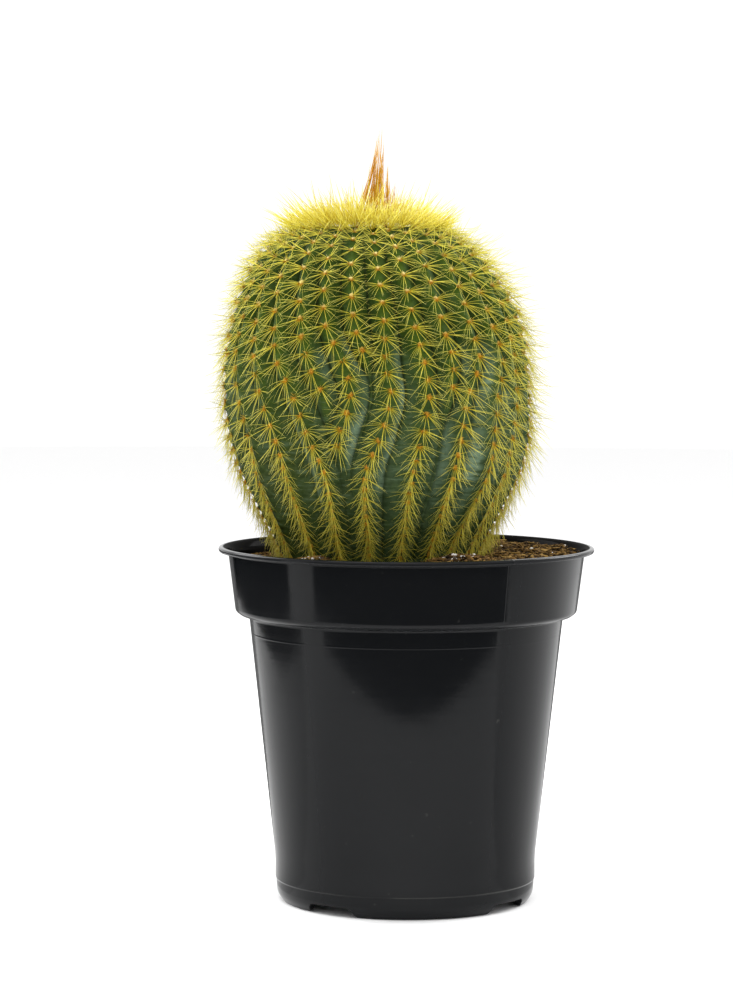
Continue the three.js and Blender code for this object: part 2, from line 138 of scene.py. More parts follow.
mirrored_sheet("room_in_front", (-60, 66), nears=(0.312, 0.312), bulge=0.155)
mirrored_sheet("room_at_left", (-150, -79), nears=(0.763, 0.323), bulge=0.177)
mirrored_sheet("room_behind_left", (-205, -150), 0.13)
mirrored_sheet("room_at_right", (68, 155), 0.58)
mirrored_sheet("table_at_left", (-150, -79), 0.66)
mirrored_sheet("table_in_front", (-79, 68), 0.85)


# ------------------------ pot
# One injection-moulded piece of glossy black plastic: a thin tapered wall, a wider collar with a
# rolled lip, a ledge over the foot ring, which notches cut into four feet, and a drained floor.

class Wire:
    """A socket in a finish's nodes: arithmetic on it adds Math nodes."""

    def __init__(self, finish, socket):
        self.finish, self.socket = finish, socket

    def maths(self, operation, *values):
        return self.finish.add("ShaderNodeMath", {"operation": operation}, dict(enumerate(values)))

    def __add__(self, other):
        return self.maths("ADD", self, other)

    __radd__ = __add__

    def __sub__(self, other):
        return self.maths("SUBTRACT", self, other)

    def __rsub__(self, other):
        return self.maths("SUBTRACT", other, self)

    def __mul__(self, other):
        return self.maths("MULTIPLY", self, other)

    __rmul__ = __mul__

    def unsigned(self):
        return self.maths("ABSOLUTE", self)

    def smooth(self, low, high):
        return self.finish.add(
            "ShaderNodeMapRange", {"interpolation_type": "SMOOTHSTEP"},
            {"Value": self, "From Min": low, "From Max": high},
        )


class Finish:
    """A material with one Principled shader, and the nodes that vary it over a surface."""

    def __init__(self, name, **fixed):
        self.material = bpy.data.materials.new(name)
        self.material.use_nodes = True
        self.tree = self.material.node_tree
        self.shader = self.tree.nodes["Principled BSDF"]
        for socket, value in fixed.items():
            self.shader.inputs[socket.replace("_", " ")].default_value = value

    def add(self, kind, settings=None, sockets=None, out=0):
        node = self.tree.nodes.new(kind)
        for key, value in (settings or {}).items():
            setattr(node, key, value)
        for key, value in (sockets or {}).items():
            self.link(value, node.inputs[key])
        return Wire(self, node.outputs[out])

    def link(self, value, socket):
        if isinstance(value, Wire):
            self.tree.links.new(value.socket, socket)
        else:
            socket.default_value = value

    def set(self, socket, value):
        self.link(value, self.shader.inputs[socket])

    def place(self, out=None):
        """The point on the piece, or one of its coordinates."""
        point = self.add("ShaderNodeTexCoord", out=3)
        if out is None:
            return point
        return self.add("ShaderNodeSeparateXYZ", {}, {0: point}, out="XYZ".index(out))

    def noise(self, scale, detail=2.0, rough=0.5, stretch=(1, 1, 1), out=0):
        at = self.add("ShaderNodeMapping", {}, {"Vector": self.place(), "Scale": stretch})
        sockets = {"Vector": at, "Scale": scale, "Detail": detail, "Roughness": rough}
        return self.add("ShaderNodeTexNoise", {}, sockets, out)

    def mix(self, factor, a, b):
        node = self.tree.nodes.new("ShaderNodeMix")
        node.data_type = "RGBA"
        for key, value in ((0, factor), (6, a), (7, b)):
            self.link((*value, 1) if isinstance(value, tuple) else value, node.inputs[key])
        return Wire(self, node.outputs[2])

    def ramp(self, along, *stops):
        """Colours along a value, each stop with its place and colour."""
        wire = self.add("ShaderNodeValToRGB", {}, {0: along})
        elements = wire.socket.node.color_ramp.elements
        while len(elements) < len(stops):
            elements.new(0.5)
        for element, (place, colour) in zip(elements, stops):
            element.position, element.color = place, (*colour, 1)
        return wire

    def own(self, name):
        """A value that the mesh carries at each of its points."""
        return self.add("ShaderNodeAttribute", {"attribute_name": name}, {}, out=2)

    def dull(self, factor, colour):
        """Where the factor is one, a plain matt surface takes the shader's place."""
        matt = self.add("ShaderNodeBsdfDiffuse", {}, {"Color": (*colour, 1)})
        both = self.add("ShaderNodeMixShader", {}, {0: factor})
        for k, wire in ((1, self.shader.outputs[0]), (2, matt.socket)):
            self.tree.links.new(wire, both.socket.node.inputs[k])
        self.tree.links.new(both.socket, self.tree.nodes["Material Output"].inputs["Surface"])

    def bump(self, height, strength, distance):
        self.set("Normal", self.add(
            "ShaderNodeBump", {}, {"Height": height, "Strength": strength, "Distance": distance},
        ))


def done(piece, name, finish, slot, *nodes):
    """Names a piece, dresses it, and lets it ride on the one body."""
    piece.name = piece.data.name = name
    piece.data.materials.clear()
    piece.data.materials.append(finish.material)
    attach(piece, "root")
    if nodes:
        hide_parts(*nodes)


def faces_outwards():
    """Turns every face of the piece in edit mode outwards, and leaves edit mode."""
    bpy.ops.mesh.select_all(action="SELECT")
    bpy.ops.mesh.normals_make_consistent(inside=False)
    bpy.ops.object.mode_set(mode="OBJECT")


_, (RIM, _, POT_TOP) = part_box("pot")
WALL = 1.3 * MM
LIP_FOOT = POT_TOP - 2.6 * MM
COLLAR_TOP, COLLAR_FOOT = 80.6 * MM, 77.3 * MM
COLLAR_LOW = 131.5 * MM
SHOULDER = 129.2 * MM
BODY_TOP, BODY_FOOT = 71.1 * MM, 59.1 * MM
TAPER_START = 20 * MM
RING_LINE = 121.5 * MM
LEDGE = 10.2 * MM
FOOT = 58.7 * MM
STAND, STAND_WIDTH = 55.9 * MM, 1.6 * MM
FLOOR = 5.8 * MM
POT_SIDES = 160


def rounded(corners):
    """An outline's corners, each (radius, height, rounding), with the roundings as short arcs."""
    points = []
    for k, (x, y, rounding) in enumerate(corners):
        here = Vector((x, y))
        before, after = corners[max(k - 1, 0)], corners[min(k + 1, len(corners) - 1)]
        if not rounding or k in (0, len(corners) - 1):
            points.append(here)
            continue
        way_in, way_out = Vector(before[:2]) - here, Vector(after[:2]) - here
        reach = min(rounding, 0.49 * way_in.length, 0.49 * way_out.length)
        start, end = here + way_in.normalized() * reach, here + way_out.normalized() * reach
        for step in (0, 0.25, 0.5, 0.75, 1):
            points.append((1 - step) ** 2 * start + 2 * step * (1 - step) * here + step ** 2 * end)
    # Long straight runs get a point near each end, which keeps their shading flat.
    held = [points[0]]
    for a, b in zip(points, points[1:]):
        if (b - a).length > 4 * MM:
            held += [a + (b - a).normalized() * 0.5 * MM, b - (b - a).normalized() * 0.5 * MM]
        held.append(b)
    return held


def turned(corners, sides):
    """A closed outline, open only where it meets the axis, spun round it into a solid."""
    outline = rounded(corners)
    deselect()
    bpy.ops.mesh.primitive_circle_add(vertices=len(outline), radius=0.1)
    piece = bpy.context.object
    for vertex, point in zip(piece.data.vertices, outline):
        vertex.co = (point.x, 0, point.y)
    bpy.ops.object.mode_set(mode="EDIT")
    shape = bmesh.from_edit_mesh(piece.data)
    shape.edges.ensure_lookup_table()
    for edge in list(shape.edges):
        if all(abs(v.co.x) < 1e-7 for v in edge.verts):
            shape.edges.remove(edge)
    bmesh.update_edit_mesh(piece.data)
    bpy.ops.mesh.select_all(action="SELECT")
    bpy.ops.mesh.spin(steps=sides, angle=2 * math.pi, center=(0, 0, 0), axis=(0, 0, 1))
    bpy.ops.mesh.select_all(action="SELECT")
    bpy.ops.mesh.remove_doubles(threshold=1e-6)
    faces_outwards()
    return piece


pot = turned([
    (0, FLOOR, 0), (STAND - STAND_WIDTH - 1.2 * MM, FLOOR, 1.2 * MM),
    (STAND - STAND_WIDTH, 0, 0.5 * MM), (STAND, 0, 1.6 * MM), (FOOT - 0.5 * MM, 3.4 * MM, 2.6 * MM),
    (FOOT, LEDGE - 0.5 * MM, 0.3 * MM), (BODY_FOOT - 0.05 * MM, LEDGE, 0.3 * MM),
    (BODY_FOOT, LEDGE + 2 * MM, 0.8 * MM), (BODY_FOOT, TAPER_START, 6 * MM),
    (BODY_TOP, SHOULDER, 0.8 * MM), (COLLAR_FOOT - 2.2 * MM, COLLAR_LOW - 1.6 * MM, 0.5 * MM),
    (COLLAR_FOOT, COLLAR_LOW, 1.0 * MM), (COLLAR_TOP, LIP_FOOT, 0.6 * MM),
    (RIM - 0.4 * MM, LIP_FOOT + 0.3 * MM, 0.8 * MM), (RIM, LIP_FOOT + 1.2 * MM, 0.5 * MM),
    (RIM - 0.2 * MM, POT_TOP - 0.3 * MM, 0.8 * MM), (RIM - 2.0 * MM, POT_TOP, 1.0 * MM),
    (COLLAR_TOP + 0.4 * MM, POT_TOP - 0.5 * MM, 1.0 * MM),
    (COLLAR_TOP - WALL, LIP_FOOT - 0.6 * MM, 1.5 * MM),
    (COLLAR_FOOT - WALL, COLLAR_LOW + 1.6 * MM, 1.5 * MM),
    (BODY_TOP - WALL, SHOULDER + 0.8 * MM, 1.5 * MM), (BODY_FOOT - WALL, TAPER_START, 0),
    (BODY_FOOT - WALL, FLOOR + WALL, 2.5 * MM), (0, FLOOR + WALL, 0),
], POT_SIDES)

# Each notch cuts through the foot ring, this far to both sides of its outer edge. Its outline, in
# mm, has rounded corners and is listed by its left half.
NOTCHES, NOTCH_BEARING, NOTCH_REACH = 4, -36.5, 8 * MM
NOTCH_HALF = [
    (-14.6, -4), (-14.6, 0), (-13.4, 0.2), (-12.5, 0.9), (-12.0, 1.9), (-11.6, 3.0), (-10.6, 3.9),
    (-9.2, 4.3),
]
NOTCH = NOTCH_HALF + [(-x, z) for x, z in reversed(NOTCH_HALF)]
DRAINS, DRAIN_RADIUS, DRAIN_CIRCLE = 8, 4.5 * MM, 41 * MM


def cut_out(piece, cutter):
    modifier = piece.modifiers.new("cut", "BOOLEAN")
    modifier.operation, modifier.solver, modifier.object = "DIFFERENCE", "EXACT", cutter
    bpy.context.view_layer.objects.active = piece
    bpy.ops.object.modifier_apply(modifier=modifier.name)
    bpy.data.objects.remove(cutter)


for k in range(NOTCHES):
    deselect()
    bpy.ops.mesh.primitive_circle_add(vertices=len(NOTCH), fill_type="NGON")
    notch = bpy.context.object
    for vertex, (x, z) in zip(notch.data.vertices, NOTCH):
        vertex.co = (x * MM, -STAND - NOTCH_REACH, z * MM)
    bpy.ops.object.mode_set(mode="EDIT")
    bpy.ops.mesh.select_all(action="SELECT")
    bpy.ops.mesh.extrude_region_move(TRANSFORM_OT_translate={"value": (0, 2 * NOTCH_REACH, 0)})
    faces_outwards()
    notch.rotation_euler = (0, 0, math.radians(NOTCH_BEARING + 360 / NOTCHES * k))
    bpy.ops.object.transform_apply(rotation=True)
    cut_out(pot, notch)
# The last drain hole is the one in the middle.
for k in range(DRAINS + 1):
    deselect()
    turn = 2 * math.pi * (k + 0.5) / DRAINS
    away = DRAIN_CIRCLE if k < DRAINS else 0
    bpy.ops.mesh.primitive_cylinder_add(
        vertices=32, radius=DRAIN_RADIUS, depth=6 * MM,
        location=(away * math.sin(turn), -away * math.cos(turn), FLOOR),
    )
    drill = bpy.context.object
    bpy.ops.object.transform_apply(location=True)
    cut_out(pot, drill)
deselect()
pot.select_set(True)
bpy.context.view_layer.objects.active = pot
bpy.ops.object.shade_smooth_by_angle(angle=math.radians(32))

gloss = Finish("black_plastic", IOR=1.5, Specular_IOR_Level=0.17)
ring = gloss.noise(9, 3, 0.6, (1, 1, 60))
smudge = gloss.noise(28, 4, 0.55)
scuff = gloss.noise(120, 5, 0.7, (1, 1, 0.5))
dust = gloss.noise(190, 2, 0.6)
height = gloss.place("Z")
aside, ahead = gloss.place("X"), 0 - gloss.place("Y")
bearing = aside.maths("ARCTAN2", aside, ahead)
SEAM = math.radians(32.5)
seam = 1 - (bearing - SEAM).unsigned().smooth(0.002, 0.008)
seam = seam * height.smooth(COLLAR_LOW, COLLAR_LOW + 2 * MM)
ring_line = 1 - (height - RING_LINE).unsigned().smooth(0.1 * MM, 0.6 * MM)
ledge_line = 1 - (height - LEDGE).unsigned().smooth(0, 0.5 * MM)
# Spots of dust, and a painted highlight along the ledge line, lighten the black.
dust_and_ledge_highlight = dust.smooth(0.70, 0.82) * 0.2 + 0.25 * ledge_line * smudge.smooth(0.3, 0.6)
gloss.set("Base Color", gloss.mix(dust_and_ledge_highlight, (0.0056, 0.0061, 0.0068), (0.10, 0.10, 0.09)))
# Painted shade: the inner wall of the collar is made matt and nearly black, in place of its gloss.
level = gloss.add("ShaderNodeVectorMath", {"operation": "MULTIPLY"}, {0: gloss.place(), 1: (1, 1, 0)})
away = gloss.add("ShaderNodeVectorMath", {"operation": "LENGTH"}, {0: level}, out=1)
SLOPE = (COLLAR_TOP - COLLAR_FOOT) / (LIP_FOOT - COLLAR_LOW)
flare = height.smooth(LIP_FOOT - 1.5 * MM, POT_TOP - 0.5 * MM) * 3.0 * MM
wall = away - (height - COLLAR_LOW) * SLOPE - flare
inside = 1 - wall.smooth(COLLAR_FOOT - WALL, COLLAR_FOOT - 0.3 * WALL)
inside = inside * height.smooth(COLLAR_LOW - 1 * MM, COLLAR_LOW)
gloss.set("Roughness", 0.09 + 0.09 * smudge.smooth(0.35, 0.75) + 0.05 * ring.smooth(0.5, 0.8))
gloss.dull(inside * 0.93, (0.007, 0.0065, 0.006))
gloss.bump(0.13 * ring + 0.3 * smudge + 0.5 * scuff + 1.2 * seam + 0.6 * ring_line, 0.2, 0.3 * MM)
done(pot, "pot_shell", gloss, "pot", "pot")


# ------------------------ the cactus's body
# The grown ball, in mm and degrees: thirty ribs at the shoulder, of which a few end on the way
# down, with blunt crests that swell at each areole, and waxy flanks with pale lobes and wrinkles.
# Its colour carries painted shade in the grooves and painted highlights on the lobes and wrinkles.

AXIS_FOOT = -12.0
AXIS_BENDS = ((-1.8, 190, 235), (-4.2, 255, 304))
CREST = [
    (27.5, 304.6), (32, 303.2), (37, 301.2), (43, 297.2), (49.6, 290.8), (56.5, 281.4), (62, 270.2),
    (66, 257.5), (68, 244), (68.6, 231), (68.6, 218), (67.2, 207), (64, 195.5), (58.6, 184),
    (52.6, 172.5), (46.8, 161.5), (43, 153), (38, 144), (30, 134), (17, 126.5),
]
ROOT_FOOT = 124.0
RIB_DEPTH = 5.6
RIBS_FADE = (146.0, 158.0)
RIBS_RISE = (282.0, 304.0)
LEVELS = (296, 262, 246, 230, 212, 196, 165)
# The front ribs: the height at which each ends, or 0, and its bearings at the levels.
FRONT_RIBS = (
    (0, (-66, -66, -66, -62.5, -56.5, -58, -61)),
    (0, (-57, -54, -52, -47.5, -41.5, -40, -39.5)),
    (0, (-46, -43, -40, -31.5, -26.5, -22, -22.5)),
    (229, (-33.5, -30.5, -26.5, -19.5, -19.5, -16.5, -16)),
    (210, (-21, -20, -12.5, -9.5, -15, -14.5, -14.5)),
    (252, (-9, -8.5, -4, -2.2, -7.5, -12.5, -13)),
    (0, (3.5, 3, 3, 5, 0, -6, -6)),
    (0, (15, 14.5, 17.5, 19, 15.5, 12.5, 11)),
    (232, (27, 26, 29, 28, 25, 23, 20)),
    (0, (42, 38.5, 41, 35, 31.5, 29.5, 27.5)),
    (0, (53, 50.5, 54, 50, 47.5, 47, 41)),
    (0, (68, 62.5, 62.5, 63.5, 59.5, 58.5, 58)),
)
# The height of one areole on each of these ribs.
FRONT_AREOLES = (257.0, 262.3, 259.8, 264.0, 261.2, 266.0, 263.5, 260.6, 265.0, 263.0, 260.5, 263.3)
BACK_RIBS, BACK_ENDING = 18, 5
RIB_END_FADE = 16.0


def smooth(value, low, high):
    share = np.clip((np.asarray(value, float) - low) / (high - low), 0, 1)
    return share * share * (3 - 2 * share)


def seeded(seed):
    """The plant's own random draw: whole numbers of 32 bits, mixed, as a share of one."""
    state, whole = [seed], 0xFFFFFFFF

    def draw():
        state[0] = (state[0] + 0x6D2B79F5) & whole
        mixed = ((state[0] ^ (state[0] >> 15)) * (1 | state[0])) & whole
        mixed = ((mixed + (mixed ^ (mixed >> 7)) * (61 | mixed)) & whole) ^ mixed
        return ((mixed ^ (mixed >> 14)) & whole) / 4294967296
    return draw


def all_ribs():
    """Each rib's bearings at the levels, and the height at which it ends, or 0."""
    draw = seeded(7)
    first, last = FRONT_RIBS[0][1], FRONT_RIBS[-1][1]
    share = [k * BACK_ENDING // BACK_RIBS for k in range(BACK_RIBS + 1)]
    ribs, passed = list(FRONT_RIBS), 0
    for k in range(BACK_RIBS):
        ends = share[k + 1] > share[k]
        passed += 0 if ends else 1
        top = (k + 1) / (BACK_RIBS + 1)
        foot = (passed + (0.5 if ends else 0)) / (BACK_RIBS - BACK_ENDING + 1)
        wander = [3 * draw() - 1.5 if 0 < n < 5 else 0 for n in range(len(LEVELS))]
        end = 225 + 22 * draw() if ends else 0
        bearings = []
        for n, level in enumerate(LEVELS):
            down = float(smooth(-level, -262, -206))
            along = top + (foot - top) * down
            bearings.append(last[n] + (first[n] + 360 - last[n]) * along + wander[n])
        ribs.append((end, tuple(bearings)))
    return ribs


RIBS = all_ribs()
RIB_COUNT = len(RIBS)
LEVEL_LIST = np.array(LEVELS[::-1], float)
RIB_LIST = np.array([rib[1][::-1] for rib in RIBS], float)
RIB_ENDS = np.array([rib[0] for rib in RIBS], float)


def bearings_at(height):
    """All ribs' bearings at one height, on smooth curves through the values at the levels."""
    height = min(max(height, LEVEL_LIST[0]), LEVEL_LIST[-1] - 1e-6)
    i = int(np.searchsorted(LEVEL_LIST, height, side="right")) - 1
    last = len(LEVEL_LIST) - 1

    def slope(k):
        a, b = max(k - 1, 0), min(k + 1, last)
        return (RIB_LIST[:, b] - RIB_LIST[:, a]) / (LEVEL_LIST[b] - LEVEL_LIST[a])
    span = LEVEL_LIST[i + 1] - LEVEL_LIST[i]
    t = (height - LEVEL_LIST[i]) / span
    rise = t * t * (3 - 2 * t)
    level = RIB_LIST[:, i] * (1 - rise) + RIB_LIST[:, i + 1] * rise
    return level + span * (slope(i) * t * (1 - t) ** 2 - slope(i + 1) * t * t * (1 - t))


def standing_at(height):
    fading = smooth(height, RIB_ENDS - RIB_END_FADE, np.maximum(RIB_ENDS, 1e-3))
    return np.where(RIB_ENDS > 0, fading, 1.0)


def axis_at(height):
    return AXIS_FOOT + sum(lean * smooth(height, low, high) for lean, low, high in AXIS_BENDS)


def crest_line(count):
    """Points evenly along the crest line, from the wool down, and its length."""
    knots = np.array([CREST[0], *CREST, CREST[-1]], float)
    fine = []
    for k in range(len(CREST) - 1):
        a, b, c, d = knots[k:k + 4]
        for t in np.linspace(0, 1, 40, endpoint=False):
            fine.append(0.5 * (2 * b + (c - a) * t + (2 * a - 5 * b + 4 * c - d) * t ** 2
                               + (3 * b - a - 3 * c + d) * t ** 3))
    fine = np.array(fine + [CREST[-1]])
    way = np.concatenate([[0], np.cumsum(np.hypot(*np.diff(fine, axis=0).T))])
    at = np.linspace(0, way[-1], count)
    return np.stack([np.interp(at, way, fine[:, k]) for k in (0, 1)], 1), way[-1]


def areole_step(height):
    """The spacing of the areoles down a rib: close at the crown, wide at the shoulder, close below."""
    return np.interp(height, (160, 178, 188, 200, 212, 225, 255, 270, 290, 300),
                     (3.9, 4.2, 4.7, 5.4, 6.6, 7.5, 7.6, 8.4, 8.1, 6.5))


LINE_STEPS = 1200
line, line_length = crest_line(LINE_STEPS)
line_way = np.linspace(0, line_length, LINE_STEPS)
# How many areoles a rib has had by each place down the crest line.
areoles_by = np.concatenate([[0], np.cumsum(np.diff(line_way) / areole_step(line[1:, 1]))])
shift = np.random.default_rng(4).random(RIB_COUNT)
front_ways = np.interp(FRONT_AREOLES, line[::-1, 1], line_way[::-1])
shift[:len(FRONT_RIBS)] = -np.interp(front_ways, line_way, areoles_by) % 1

ROWS = 250
HALF = 6
COLUMNS = 2 * HALF * RIB_COUNT
# The nearly flat top under the wool, each (radius, height).
DISH = ((9, 304.0), (18, 303.9), (24, 303.6))
# Where a crease lies between two ribs, as a share of the way from the left one, below the shoulder.
CREASES = {6: 0.42, 7: 0.50, 9: 0.39, 2: 0.56, 1: 0.58}
# How far each flank swells into a pale lobe, its pallor partly farina and partly painted
# highlight, and how deeply it is wrinkled: rib, side, share.
LOBES = {(4, 1): 1.0, (6, 1): 1.0, (10, 0): 1.0, (9, 0): 0.5, (11, 0): 0.5, (3, 1): 0.5, (2, 0): 0.4}
FOLDS = {
    (10, 0): 1.6, (10, 1): 0.5, (9, 1): 0.35, (9, 0): 0.5, (11, 0): 0.7, (7, 1): 0.3, (6, 1): 0.25,
}
rng = np.random.default_rng(12)
lobes, folds = 0.25 * rng.random((RIB_COUNT, 2)), 0.9 * rng.random((RIB_COUNT, 2)) ** 1.5
phases = 6.28 * rng.random((RIB_COUNT, 2))
for spots, chosen in ((lobes, LOBES), (folds, FOLDS)):
    for (rib, flank_side), share in chosen.items():
        spots[rib, flank_side] = share


def points_of(piece):
    points = np.empty(3 * len(piece.data.vertices))
    piece.data.vertices.foreach_get("co", points)
    return points.reshape(-1, 3)


def skin_ring(radius, height, way):
    """A ring of the skin: bearings, radii, how far down its flank each point is, and how pale, the
    pallor partly farina and partly painted highlight.
    """
    bearings, stand = bearings_at(height), standing_at(height)
    depth = RIB_DEPTH * float(smooth(height, *RIBS_FADE)) * (1 - float(smooth(height, *RIBS_RISE)))
    low = float(smooth(-height, -262, -235))
    depth *= 1 - 0.28 * low
    band = low * float(smooth(height, 172, 200))
    swell = 0.8 * np.cos(2 * np.pi * (np.interp(way, line_way, areoles_by) + shift))
    swell = swell * float(smooth(height, 150, 175))
    away, turn, flank, pale = [], [], [], []
    steps_down = np.sin(np.arange(HALF) / HALF * math.pi / 2) ** 0.9
    steps_up = np.concatenate([[1], steps_down[:0:-1]])
    for i in range(RIB_COUNT):
        n = (i + 1) % RIB_COUNT
        gap = (bearings[n] - bearings[i]) % 360
        lean = 2 * (0.5 + (CREASES.get(i, 0.5) - 0.5) * low)
        share = stand[i] * lean / (stand[i] * lean + stand[n] * (2 - lean) + 1e-6)
        share = min(max(share, 0.06), 0.94)
        left = (i, 1, steps_down, bearings[i], gap * share)
        right = (n, 0, steps_up, bearings[i] + gap, gap * (share - 1))
        for rib, side, steps, start, width in (left, right):
            lobe = lobes[rib, side]
            blunt = 1.45 + (0.15 + 1.7 * lobe) * low
            crest = radius - depth * (1 - stand[rib]) + swell[rib] * stand[rib] * (1 - steps) ** 2
            phase = phases[rib, side]
            uneven = way + 1.5 * math.sin(0.43 * way + phase) + 0.8 * math.sin(1.1 * way + 2 * phase)
            fold = np.abs(np.sin(uneven * math.pi / 4.0 + phase + 1.2 * steps)) ** 0.7 - 0.6
            fold = fold * (0.6 + 0.4 * math.sin(0.29 * way + 3 * phase))
            fold = folds[rib, side] * band * fold * np.sin(math.pi * np.clip(steps, 0, 1)) ** 0.5
            away.append(crest + (radius - depth - crest) * steps ** blunt + 0.75 * fold)
            turn.append(start + width * steps)
            flank.append(np.maximum(steps, 0.8 * (1 - stand[rib])))
            # Pale lobes, partly farina and partly painted highlight: strongest towards the crease and
            # on the tops of the folds.
            edge = np.clip((steps - 0.25) / 0.5, 0, 1)
            pale.append(lobe * band * edge * (1 + 1.8 * fold) * stand[rib])
    return [np.concatenate(part) for part in (turn, away, flank, pale)]


deselect()
bpy.ops.mesh.primitive_uv_sphere_add(segments=COLUMNS, ring_count=ROWS + 1, radius=1)
skin = bpy.context.object
x, y, z = points_of(skin).T
row = np.rint(np.arccos(np.clip(z, -1, 1)) / math.pi * (ROWS + 1)).astype(int)
column = np.rint(np.arctan2(y, x) / (2 * math.pi) * COLUMNS).astype(int) % COLUMNS
placed = np.zeros((ROWS + 2, COLUMNS, 3))
flank, pale = np.zeros((2, ROWS + 2, COLUMNS))
crest_rows, _ = crest_line(ROWS - len(DISH))
CROWN_X = axis_at(CREST[0][1])
for k in range(ROWS + 2):
    if k == 0:
        placed[k] = (CROWN_X, 0, DISH[0][1] + 0.4)
    elif k == ROWS + 1:
        placed[k] = (AXIS_FOOT, 0, ROOT_FOOT)
    else:
        radius, height = DISH[k - 1] if k <= len(DISH) else crest_rows[k - 1 - len(DISH)]
        way = (k - 1 - len(DISH)) / (ROWS - len(DISH) - 1) * line_length
        turn, away, flank[k], pale[k] = skin_ring(radius, height, way)
        turn = np.radians(turn)
        placed[k] = np.stack([axis_at(height) + away * np.sin(turn), -away * np.cos(turn),
                              np.full(COLUMNS, height)], 1)
skin.data.vertices.foreach_set("co", (placed[row, column] * MM).ravel())
for name, values in (("flank", flank), ("pale", pale)):
    skin.data.attributes.new(name, "FLOAT", "POINT").data.foreach_set("value", values[row, column])
skin.data.update()
bpy.ops.object.mode_set(mode="EDIT")
faces_outwards()
bpy.ops.object.shade_smooth()

waxy = Finish("waxy_skin", IOR=1.4, Specular_IOR_Level=0.10)
level = waxy.place("Z")
low = 1 - level.smooth(0.190, 0.262)
down, lobe = waxy.own("flank"), waxy.own("pale")
cloud = waxy.noise(45, 4, 0.6)
patch = waxy.noise(140, 3, 0.6)
fine = waxy.noise(700, 4, 0.65)
streak = waxy.noise(60, 4, 0.65, (3, 3, 0.8))
wrinkle = waxy.noise(120, 4, 0.6, (1, 1, 5))
# Painted shade: the skin darkens from the crest down each flank towards the groove.
base = waxy.mix(down.smooth(0.05, 0.7), (0.050, 0.090, 0.006), (0.022, 0.044, 0.003))
# Low on the plant the skin turns greyer; it is lighter and bluer on the right side, partly its own
# bloom and partly painted light falling from the right.
lit_from_right = waxy.place("X").smooth(-0.06, 0.0)
grey = waxy.mix(lit_from_right, (0.026, 0.036, 0.006), (0.038, 0.062, 0.030))
base = waxy.mix(low * 0.75, base, grey)
base = waxy.mix(cloud.smooth(0.4, 0.7) * 0.5, base, (0.016, 0.034, 0.005))
base = waxy.mix(patch.smooth(0.5, 0.72) * 0.45, base, (0.056, 0.092, 0.020))
# The pale blue-grey on the flanks is partly the skin's waxy bloom and partly a painted sheen, stronger
# on the right side.
bloom_and_sheen = (cloud * 0.5 + streak * 0.6).smooth(0.48, 0.70) * down.smooth(0.2, 0.7) * (0.04 + 0.28 * low)
base = waxy.mix(bloom_and_sheen * (0.45 + 0.8 * patch) * (0.65 + 0.35 * lit_from_right), base, (0.115, 0.156, 0.068))
# The pale lobes are partly farina and partly a painted highlight where the swelling flank turns to the
# light.
pallor_and_highlight = lobe * (0.12 + 0.62 * cloud.smooth(0.40, 0.60) + 0.35 * streak)
base = waxy.mix(pallor_and_highlight, base, (0.155, 0.228, 0.150))
# Painted shade in the creases between the ribs.
crease_shade = down.smooth(0.84, 1.0)
base = waxy.mix(crease_shade * (0.85 - 0.45 * low), base, (0.010, 0.017, 0.004))
# Painted highlight on the tops of the wrinkles, and painted shade in their troughs.
base = waxy.mix(wrinkle.smooth(0.52, 0.72) * (0.12 + 0.45 * low), base, (0.095, 0.140, 0.075))
base = waxy.mix((1 - wrinkle.smooth(0.34, 0.50)) * (0.15 + 0.42 * low), base, (0.012, 0.026, 0.005))
base = waxy.mix(fine.smooth(0.5, 0.8) * 0.22, base, (0.095, 0.145, 0.045))
base = waxy.mix((1 - fine.smooth(0.25, 0.5)) * 0.40, base, (0.012, 0.024, 0.004))
waxy.set("Base Color", base)
waxy.set("Roughness", 0.56 - 0.08 * low + 0.1 * cloud)
waxy.bump(0.8 * fine + 0.8 * cloud + 0.6 * streak + 1.6 * wrinkle + 0.5 * patch, 0.6, 0.35 * MM)
done(skin, "cactus_skin", waxy, "skin", "cactus_body")


# ------------------------ spines of the ribs
# Thin golden needles with an orange foot and a pale tip. Each areole fans ten to sixteen short
# ones to both sides, which droop, and has five or six longer, paler ones that run down the rib or
# stand out. Below the shoulder a few very thin ones hang down as well.

deselect()
SPINE_PARTS = 4
bpy.ops.mesh.primitive_cone_add(
    vertices=3, radius1=1, radius2=0.35, depth=1, end_fill_type="NGON", location=(0, 0, 0.5),
)
seed_spine = bpy.context.object
bpy.ops.object.transform_apply(location=True)
bpy.ops.object.mode_set(mode="EDIT")
shape = bmesh.from_edit_mesh(seed_spine.data)
for edge in shape.edges:
    edge.select = abs(edge.verts[0].co.z - edge.verts[1].co.z) > 0.5
bpy.ops.mesh.subdivide(number_cuts=SPINE_PARTS - 1)
shape = bmesh.from_edit_mesh(seed_spine.data)
bmesh.ops.triangulate(shape, faces=shape.faces)
bmesh.update_edit_mesh(seed_spine.data)
bpy.ops.object.mode_set(mode="OBJECT")


def taken_shape(seed):
    """A seed piece's points and triangles. The piece itself goes."""
    points = points_of(seed)
    seed.data.calc_loop_triangles()
    faces = np.empty(3 * len(seed.data.loop_triangles), int)
    seed.data.loop_triangles.foreach_get("vertices", faces)
    bpy.data.objects.remove(seed)
    return points, faces.reshape(-1, 3)


